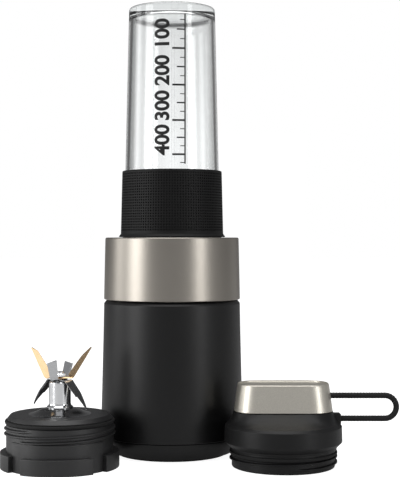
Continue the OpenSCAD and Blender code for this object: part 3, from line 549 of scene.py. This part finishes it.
for k in range(-13, 15):
    bmesh.ops.bisect_plane(marks, geom=marks.verts[:] + marks.edges[:] + marks.faces[:], dist=1e-7,
                           plane_co=(k * mm, 0, 0), plane_no=(1, 0, 0))
for vert in marks.verts:
    radius = (wall_r(vert.co.z / mm) + print_lift) * mm
    turn = vert.co.x / radius
    vert.co = (radius * math.sin(turn), -radius * math.cos(turn), vert.co.z)
bmesh.ops.recalc_face_normals(marks, faces=marks.faces)
if sum(f.normal.y for f in marks.faces) > 0:
    bmesh.ops.reverse_faces(marks, faces=marks.faces)
piece("bottle_scale", marks, print_black, "bottle")

# ---------------------------------------------------------------------------
# Grip sleeve. A stretched silicone band with rows of small square dimples, a
# plain band and a flared lip at the foot and a thin lip at the top.
# ---------------------------------------------------------------------------
silicone = finish("grip_silicone", (0.003, 0.003, 0.003), (0.005, 0.005, 0.005), (0.5, 0.62), grain=1800,
                  depth=0.12, Specular_IOR_Level=0.25)
sleeve_z = sleeve_lo.z / mm
grip_low = sleeve_z + 4.7
rows = 22
pitch = 2.15
grip_foot_r = sleeve_hi.x / mm - 1.6
grip_top_r = waist_r + 2.5
slope = (grip_top_r - grip_foot_r) / (sleeve_top - sleeve_z - 3)
skin_out = [(grip_foot_r + slope * (grip_low + pitch * k - sleeve_z - 3), grip_low + pitch * k)
            for k in range(rows + 1)]
last_r, last_z = skin_out[-1]
bm = bmesh.new()
turned(bm, [(foot_bottle_r + 0.5, sleeve_z), (grip_foot_r + 1.1, sleeve_z), (grip_foot_r + 1.55, sleeve_z + 0.3),
            (grip_foot_r + 1.5, sleeve_z + 0.8), (grip_foot_r + 0.5, sleeve_z + 2), (grip_foot_r, sleeve_z + 3)]
       + skin_out + [(last_r, sleeve_top - 1.1), (last_r - 0.25, sleeve_top - 0.9), (last_r - 0.1, sleeve_top - 0.6),
                     (last_r - 0.25, sleeve_top - 0.2), (last_r - 0.7, sleeve_top), (waist_r + 0.1, sleeve_top),
                     (foot_bottle_r + 0.1, sleeve_z + 1)], steps=120)
cells = [f for f in bm.faces if f.normal.xy.length > 0.9 and grip_low < f.calc_center_median().z / mm < last_z
         and f.calc_center_median().xy.length / mm > last_r - 0.6 and f.normal.xy.dot(f.calc_center_median().xy) > 0]
bmesh.ops.inset_individual(bm, faces=cells, thickness=0.46 * mm, depth=0, use_even_offset=True)
bmesh.ops.inset_individual(bm, faces=cells, thickness=0.12 * mm, depth=-0.85 * mm, use_even_offset=True)
piece("sleeve_dimpled", bm, silicone, "bottle", ["grip_sleeve"])

# ---------------------------------------------------------------------------
# Blade units. One is locked in the socket under the bottle and a spare stands
# in front on the left. A black threaded cup with four lugs carries a polished
# post and three bent blades.
# ---------------------------------------------------------------------------
cup_black = finish("cup_black", (0.011, 0.011, 0.0113), (0.015, 0.015, 0.0154), (0.36, 0.48), grain=1300, depth=0.09,
                   Specular_IOR_Level=0.55)
dome_gloss = finish("dome_gloss", (0.09, 0.09, 0.092), (0.12, 0.12, 0.122), (0.12, 0.2), metal=0.9, grain=700,
                    depth=0.02)
polished = finish("polished_steel", (0.80, 0.81, 0.82), (0.88, 0.89, 0.90), (0.07, 0.13), metal=1.0, grain=500,
                  depth=0.01, cloud=60)
blade_steel = finish("blade_steel", (0.56, 0.57, 0.58), (0.68, 0.69, 0.70), (0.12, 0.2), metal=1.0, grain=900,
                     depth=0.05, cloud=200, stretch=6)
gold_steel = finish("gold_steel", (0.54, 0.38, 0.215), (0.68, 0.485, 0.29), (0.16, 0.26), metal=1.0, grain=900,
                    depth=0.05, cloud=200, stretch=6)


def helix(bm, root_r, crest_r, low, first, span, lead, half, run_out=12.0, step=4.0):
    """A screw-thread ridge that fades in and out at its ends."""
    count = int(span / step)
    last = None
    for k in range(count + 1):
        gone = k * step
        fade = min(1.0, gone / run_out, (span - gone) / run_out)
        crest = root_r + 0.02 + (crest_r - root_r) * fade
        turn = math.radians(first + gone)
        z = low + lead * gone / 360
        ring = [bm.verts.new((r * mm * math.cos(turn), r * mm * math.sin(turn), (z + dz) * mm))
                for r, dz in ((root_r - 0.6, -half), (root_r, -half), (crest, -half * 0.35), (crest, half * 0.35),
                              (root_r, half), (root_r - 0.6, half))]
        if last:
            for j in range(6):
                bm.faces.new((last[j], last[(j + 1) % 6], ring[(j + 1) % 6], ring[j]))
        else:
            bm.faces.new(ring[::-1])
        last = ring
    bm.faces.new(last)


def bent_blade(bm, low, root, wings, half_width, way=1):
    """A strip with a wing at each end. A wing is (tilt, twist, stations) and a station is the reach and the
    offset of the wing's low edge, then of its high edge."""
    thick = 1.0
    for side, (tilt, twist, stations) in enumerate(wings):
        sign = 1 if side == 0 else -1
        bend = math.radians(tilt)
        wind = math.radians(twist)
        rings = []

        def ring(x, z, lean, y_low, y_high, dx_low=0.0, dx_high=0.0, edge=0.9, wound=0.0):
            along = Vector((math.cos(lean), 0, math.sin(lean)))
            up = Vector((-math.sin(lean), 0, math.cos(lean)))
            across = Vector((0, 1, 0)) * math.cos(wound) + up * math.sin(wound)
            face = along.cross(across) * thick
            foot = Vector((x, 0, z))
            spots = [foot + along * dx_low + across * y_low, foot + along * dx_high + across * y_high,
                     foot + along * dx_high + across * y_high + face * 0.25,
                     foot + along * dx_high + across * (y_high - edge) + face,
                     foot + along * dx_low + across * (y_low + edge) + face,
                     foot + along * dx_low + across * y_low + face * 0.25]
            rings.append([bm.verts.new((sign * q.x * mm, sign * q.y * mm, (low + way * q.z) * mm)) for q in spots])

        ring(0, 0, 0, -half_width, half_width)
        ring(root - 1.5, 0, 0, -half_width, half_width)
        ring(root - 0.4, 0.12, bend * 0.33, -half_width, half_width, wound=wind * 0.2)
        ring(root + 0.3, 0.5, bend * 0.7, -half_width, half_width, wound=wind * 0.6)
        base_x, base_z = root + 0.5, 0.9
        for reach_low, y_low, reach_high, y_high in stations:
            mid = (reach_low + reach_high) / 2
            ring(base_x + math.cos(bend) * mid, base_z + math.sin(bend) * mid, bend, y_low, y_high,
                 reach_low - mid, reach_high - mid, min(0.9, (y_high - y_low) * 0.3), wind)
        for a, b in zip(rings, rings[1:]):
            for j in range(6):
                bm.faces.new((a[j], a[(j + 1) % 6], b[(j + 1) % 6], b[j]))
        bm.faces.new(rings[-1])
    bmesh.ops.remove_doubles(bm, verts=bm.verts, dist=1e-6)
    bmesh.ops.recalc_face_normals(bm, faces=bm.faces)


spare_lo, spare_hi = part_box("spare_blade_cup")
spare_at = ((spare_lo.x + spare_hi.x) / 2 / mm, (spare_lo.y + spare_hi.y) / 2 / mm, spare_lo.z / mm)
cup_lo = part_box("blade_cup")[0]
blade_stack = 65.4
spare_turn = 3
gold_turn, short_turn, long_turn = 10, 68, 137
for tag, unit, rotor, spot, turn in (("", "blade_unit", "blade_rotor", (0, 0, cup_lo.z / mm), 0.0),
                                     ("spare_", "spare_blade_unit", "spare_blade_rotor", spare_at, spare_turn)):
    # cup with its deck, dome, panels, lugs and two-start thread
    bm = bmesh.new()
    turned(bm, [(36.6, 0.3), (36.9, 0), (40.4, 0), (40.8, 0.4), (40.8, 33.4), (39.6, 33.5), (39.2, 33.8),
                (39.2, 36.3), (40.0, 36.4), (40.1, 37.2), (38.2, 39.6), (37.7, 40.1), (37.1, 40.2),
                (23.6, 40.2), (20, 40.6), (9.6, 44.3), (6.6, 44.8), (6.6, 16),
                (9.6, 16), (9.6, 35.4), (34, 35.4), (36.6, 33)], steps=144)
    for first in (-144.5, 35.5):
        sector(bm, 40.2, 41.8, 0.02, 22.5, first, 109, 48)
    for quarter in range(4):
        sector(bm, 40.2, 45.5, 0, 12.2, 45 + 8.5 + 90 * quarter, 73, 32)
    soften(bm, 0.4, 3, 55)
    for first in (-137, 43):
        helix(bm, 40.8, 42.3, 22.9, first, 380, 8, 1.25)
    for first in (-116, 64):
        sector(bm, 40.6, 41.9, 19.6, 20.4, first, 52, 24)
    bmesh.ops.recalc_face_normals(bm, faces=bm.faces)
    piece(tag + "cup_threaded", bm, cup_black, unit, [tag + "blade_cup"], spot, turn)

    # gloss dome round the post
    bm = bmesh.new()
    turned(bm, [(9.7, 40.1)] + [(24 - k * 14.3 / 14, 40.24 + 4.5 * (0.5 - 0.5 * math.cos(math.pi * k / 14)))
                                 for k in range(15)], steps=96)
    piece(tag + "dome_gloss", bm, dome_gloss, unit, at=spot, turn=turn)

    # sealing ring in its groove
    bm = bmesh.new()
    turned(bm, [(39.3, 33.7), (41.0, 33.7)] + arc(40.2, 35, 1.6, -50, 50, 8) + [(41.0, 36.3), (39.3, 36.3)],
           steps=120)
    piece(tag + "cup_ring", bm, rubber_black, unit, [tag + "cup_gasket"], spot, turn)

    # turned post with a flange, a fillet and a rounded top
    bm = bmesh.new()
    turned(bm, [(5, 14), (9.6, 14), (9.6, 16), (6.6, 16), (6.6, 44.8), (9.9, 44.8), (10, 45.1), (10, 45.7),
                (9.7, 46.1), (9, 46.6), (8.6, 47.3), (8.4, 48.2), (8.4, 63.6), (8.2, 64.3), (7.7, 64.8), (7, 65),
                (5, 65)], steps=96)
    piece(tag + "post_turned", bm, polished, unit, [tag + "hub_post"], spot, turn)

    # gold-coated wings that stand up and lean out
    bm = bmesh.new()
    bent_blade(bm, blade_stack + 2, 8, (
        (57, 22, ((1, -4.3, 1, 4.3), (12, -3.8, 12, 3.4), (18, -3.5, 18, 2.6), (23, -3.2, 23, 0.4),
                  (27.2, -3.0, 27.2, -2.5))),
        (64, 45, ((1, -4.3, 1, 4.3), (12, -3.8, 12, 3.2), (22, -3.2, 22, 1.8), (26, -3.0, 26, -2.3)))), 4.4)
    bm.transform(Matrix.Rotation(math.radians(gold_turn), 4, "Z"))
    piece(tag + "wings_gold", bm, gold_steel, rotor, [tag + "blades_top"], spot, turn)

    # short square wings that stand up
    bm = bmesh.new()
    bent_blade(bm, blade_stack + 1, 9.6, (
        (60, -8, ((1, -3.6, 1, 3.6), (6, -3.8, 6, 3.8), (11, -4, 13, 4))),
        (74, 8, ((1, -3.2, 1, 3.2), (6, -3.6, 6, 3.6), (13, -4, 15.2, 4)))), 3.8)
    bm.transform(Matrix.Rotation(math.radians(short_turn), 4, "Z"))
    piece(tag + "wings_short", bm, blade_steel, rotor, [tag + "blades_middle"], spot, turn)

    # long wings that reach down, with a step in the trailing edge
    bm = bmesh.new()
    down = (46, 0, ((1, -4.3, 1, 4.3), (6, -4, 6, 4.4), (11, -3.4, 11, 4.5), (14, -3.1, 14, 4.0),
                    (14.6, -1.8, 14.6, 3.9), (22, -0.8, 22, 2.2), (28, -0.2, 28, 0.2)))
    bent_blade(bm, blade_stack + 1, 9.8, (down, down), 4.4, -1)
    bm.transform(Matrix.Rotation(math.radians(long_turn), 4, "Z"))
    piece(tag + "wings_long", bm, blade_steel, rotor, [tag + "blades_lower"], spot, turn)

    # flanged nut on the spindle's end
    bm = bmesh.new()
    bmesh.ops.create_cone(bm, cap_ends=True, segments=6, radius1=5.1 * mm, radius2=5.1 * mm, depth=2.6 * mm,
                          matrix=Matrix.Translation((0, 0, (blade_stack + 4.6) * mm)))
    soften(bm, 0.35, 2, 25)
    turned(bm, [(0, blade_stack + 5), (2.6, blade_stack + 5), (2.6, blade_stack + 6.3), (2, blade_stack + 6.8),
                (0, blade_stack + 6.9)], steps=32)
    piece(tag + "nut_domed", bm, polished, rotor, [tag + "blade_nut"], spot, turn)

# ---------------------------------------------------------------------------
# Travel lid. A threaded plug, a wide band and a shoulder that sweeps up to the
# cap's plan, with a lug on the right for the carry loop.
# ---------------------------------------------------------------------------
lid_black = finish("lid_black", (0.0036, 0.0036, 0.0038), (0.0052, 0.0052, 0.0054), (0.38, 0.5),
                   grain=1200, depth=0.07, Specular_IOR_Level=0.3)
lid_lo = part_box("lid_collar")[0]
lid_top_lo, lid_top_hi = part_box("drink_cap")
lid_at = ((lid_top_lo.x + lid_top_hi.x) / 2 / mm, (lid_top_lo.y + lid_top_hi.y) / 2 / mm, lid_lo.z / mm)


def plan_ring(bm, half_l, half_w, corner, z, mixed=0.0, circle=0.0, count=160):
    """A ring of points on a rounded rectangle, or part of the way from it to a circle."""
    ring = []
    for k in range(count):
        turn = math.tau * k / count
        c, s = math.cos(turn), math.sin(turn)
        near, far = 0.0, 80.0
        for _ in range(40):
            t = (near + far) / 2
            px, py = abs(t * c) - half_l + corner, abs(t * s) - half_w + corner
            away = math.hypot(max(px, 0), max(py, 0)) + min(max(px, py), 0) - corner
            near, far = (t, far) if away < 0 else (near, t)
        t += (circle - t) * mixed
        ring.append(bm.verts.new((t * c * mm, t * s * mm, z * mm)))
    return ring


def skin(bm, rings):
    """Faces between neighbouring rings, with a cap at each end."""
    for a, b in zip(rings, rings[1:]):
        for j in range(len(a)):
            k = (j + 1) % len(a)
            bm.faces.new((a[j], a[k], b[k], b[j]))
    bm.faces.new(rings[0][::-1])
    bm.faces.new(rings[-1])
    bmesh.ops.recalc_face_normals(bm, faces=bm.faces)


bm = bmesh.new()
profile = [(35.6, 30), (36, 27), (36.4, 0.4), (36.8, 0), (38.6, 0), (39.2, 0.3), (39.5, 1), (39.5, 8.6),
           (39.7, 9.2), (40.1, 9.6), (40.1, 13.9), (40.4, 14.2), (40.9, 14.2), (41.0, 15.3), (41.4, 15.6),
           (44.9, 19), (45.15, 19.4), (45.15, 20), (44.85, 30.8), (44.6, 31.3), (42.9, 33)]
rings = [plan_ring(bm, 30, 30, 30, z, 1.0, r) for r, z in profile]
for k in range(1, 13):
    far = k / 12
    rings.append(plan_ring(bm, 37.9, 21.2, 17.7, 33 + 9 * (0.35 * far + 0.65 * far ** 2), 1 - far, 42.9))
rings.append(plan_ring(bm, 37.4, 20.7, 17.3, 42.2))
skin(bm, rings)
bmesh.ops.create_cube(bm, size=1, matrix=Matrix.Translation((40.4 * mm, 0, 36.1 * mm))
                      @ Matrix.Diagonal((7.6 * mm, 8 * mm, 8.4 * mm, 1)))
lug = [e for e in bm.edges if all(v.co.x > 44.1 * mm and abs(v.co.y) < 4.1 * mm and v.co.z > 31.8 * mm
                                  and abs(abs(v.co.y) - 4 * mm) < 1e-6 for v in e.verts)]
bmesh.ops.bevel(bm, geom=lug, offset=1.2 * mm, segments=3, profile=0.5, affect="EDGES", material=-1)
helix(bm, 39.5, 41.3, 3.2, -86, 720, 4.4, 1.0, 30)
bmesh.ops.recalc_face_normals(bm, faces=bm.faces)
piece("lid_body", bm, lid_black, "travel_lid", ["lid_collar"], lid_at)

bm = bmesh.new()
turned(bm, [(40.0, 10.2), (41.1, 10.2), (41.35, 10.7), (41.35, 11.7), (41.1, 12.2), (40.0, 12.2)], steps=120)
piece("lid_ring", bm, rubber_black, "travel_lid", ["lid_gasket"], lid_at)

# ---------------------------------------------------------------------------
# Drinking spout with a rolled lip.
# ---------------------------------------------------------------------------
bm = bmesh.new()
turned(bm, [(9.7, 42.2), (11.9, 42.2), (11.9, 50.8), (11.7, 51.7), (11.1, 52.15), (10.4, 52.15), (9.8, 51.7)],
       steps=96)
piece("spout_lip", bm, lid_black, "travel_lid", ["drink_spout"], lid_at)

# ---------------------------------------------------------------------------
# Cap. A champagne-metallic cover in a rounded rectangle, leaning in towards a
# raised rim round its sunk top.
# ---------------------------------------------------------------------------
cap_silver = finish("cap_silver", (0.52, 0.495, 0.435), (0.78, 0.745, 0.66), (0.3, 0.42), metal=0.85, grain=3500,
                    depth=0.1, cloud=1600)
cap_foot = 42.6
cap_high = 63.5
bm = bmesh.new()


def cap_ring(inset, z):
    """A ring of the cap's plan at a height, leaning in with the walls."""
    lean = 2.8 * (z - cap_foot) / (cap_high - cap_foot) + inset
    return plan_ring(bm, 37.6 - lean, 20.9 - lean, 17.5 - lean * 0.6, z)


inside = [(2.6, 59.4), (1.9, 59), (1.6, 58.2), (1.6, cap_foot + 0.2)]
hem = [(1.3, cap_foot), (0.3, cap_foot), (0, cap_foot + 0.3)]
wall_and_rim = [(0, 52), (0, cap_high - 1.1), (0.12, cap_high - 0.5), (0.4, cap_high - 0.12), (0.8, cap_high),
                (1.2, cap_high - 0.12), (1.5, cap_high - 0.5), (1.6, cap_high - 1.0), (1.8, cap_high - 1.2)]
rings = [cap_ring(inset, z) for inset, z in inside + hem + wall_and_rim]
skin(bm, rings)
piece("cap_shell", bm, cap_silver, "cap", ["drink_cap"], lid_at)

# ---------------------------------------------------------------------------
# Carry loop. Round black braid: out of the cap, round a half turn and back to
# the lug on the shoulder.
# ---------------------------------------------------------------------------
loop_cord = finish("loop_cord", (0.004, 0.004, 0.004), (0.008, 0.008, 0.008), (0.55, 0.75), grain=2400, depth=0.2,
                   Specular_IOR_Level=0.3)
upper_z = 53.8
lower_z = 36.2
cord_r = 2.3
bend_r = (upper_z - lower_z) / 2
end_x = 89.1 - cord_r - bend_r
path = [(33 + (end_x - 33) * k / 112, upper_z, 0.0) for k in range(112)]
path += [(end_x + bend_r * math.sin(math.pi * k / 72), (upper_z + lower_z) / 2 + bend_r * math.cos(math.pi * k / 72),
          math.pi * k / 72) for k in range(72)]
path += [(end_x - (end_x - 38.6) * k / 100, lower_z, math.pi) for k in range(101)]
bm = bmesh.new()
around_count = 24
rings = []
for k, (x, z, heading) in enumerate(path):
    ring = []
    for j in range(around_count):
        a = math.tau * j / around_count
        weave = abs(math.sin(3 * a + k * 0.55)) * abs(math.sin(3 * a - k * 0.55))
        r = cord_r - 0.24 + 0.24 * weave ** 0.6
        out = r * math.cos(a)
        ring.append(bm.verts.new(((x + out * math.sin(heading)) * mm, r * math.sin(a) * mm,
                                  (z + out * math.cos(heading)) * mm)))
    rings.append(ring)
skin(bm, rings)
loop = piece("loop_braid", bm, loop_cord, None, ["carry_loop"], lid_at)
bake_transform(loop)

# ---------------------------------------------------------------------------
# Inner pieces. The motor, the lock and the seals keep their designed shapes
# and take the finish that each one really has.
# ---------------------------------------------------------------------------
inner = {
    "body_black": body_black, "collar_metal": collar_metal, "black_rubber": rubber_black, "grip_silicone": silicone,
    "clear_plastic": clear, "cup_black": cup_black, "polished_steel": polished, "blade_steel": blade_steel,
    "gold_steel": gold_steel, "lid_black": lid_black, "cap_silver": cap_silver, "loop_cord": loop_cord,
    "bronze": finish("bronze", (0.42, 0.26, 0.11), (0.52, 0.34, 0.16), (0.35, 0.5), metal=1.0, grain=1500),
    "copper": finish("copper", (0.55, 0.22, 0.09), (0.72, 0.34, 0.16), (0.22, 0.36), metal=1.0, grain=2600, stretch=8),
    "lamination": finish("lamination", (0.16, 0.165, 0.17), (0.3, 0.3, 0.31), (0.35, 0.5), metal=0.9, grain=1800,
                         depth=0.2, stretch=12),
    "zinc_steel": finish("zinc_steel", (0.48, 0.49, 0.5), (0.62, 0.63, 0.64), (0.3, 0.42), metal=1.0, cloud=300),
    "cast_alloy": finish("cast_alloy", (0.42, 0.42, 0.43), (0.52, 0.52, 0.53), (0.42, 0.6), metal=1.0, grain=1400,
                         depth=0.2),
    "carbon": finish("carbon", (0.02, 0.02, 0.022), (0.05, 0.05, 0.052), (0.45, 0.6), grain=2200, depth=0.15),
    "board_green": finish("board_green", (0.01, 0.09, 0.035), (0.02, 0.14, 0.05), (0.3, 0.4), grain=1800, cloud=400),
    "switch_black": finish("switch_black", (0.012, 0.012, 0.014), (0.02, 0.02, 0.022), (0.3, 0.42), grain=1600),
}
for part in frame["record"]["subparts"]:
    shape = nodes[part["node"]]
    if not shape.hide_render:
        shape.data.materials.clear()
        shape.data.materials.append(inner[part["material_slot"]])
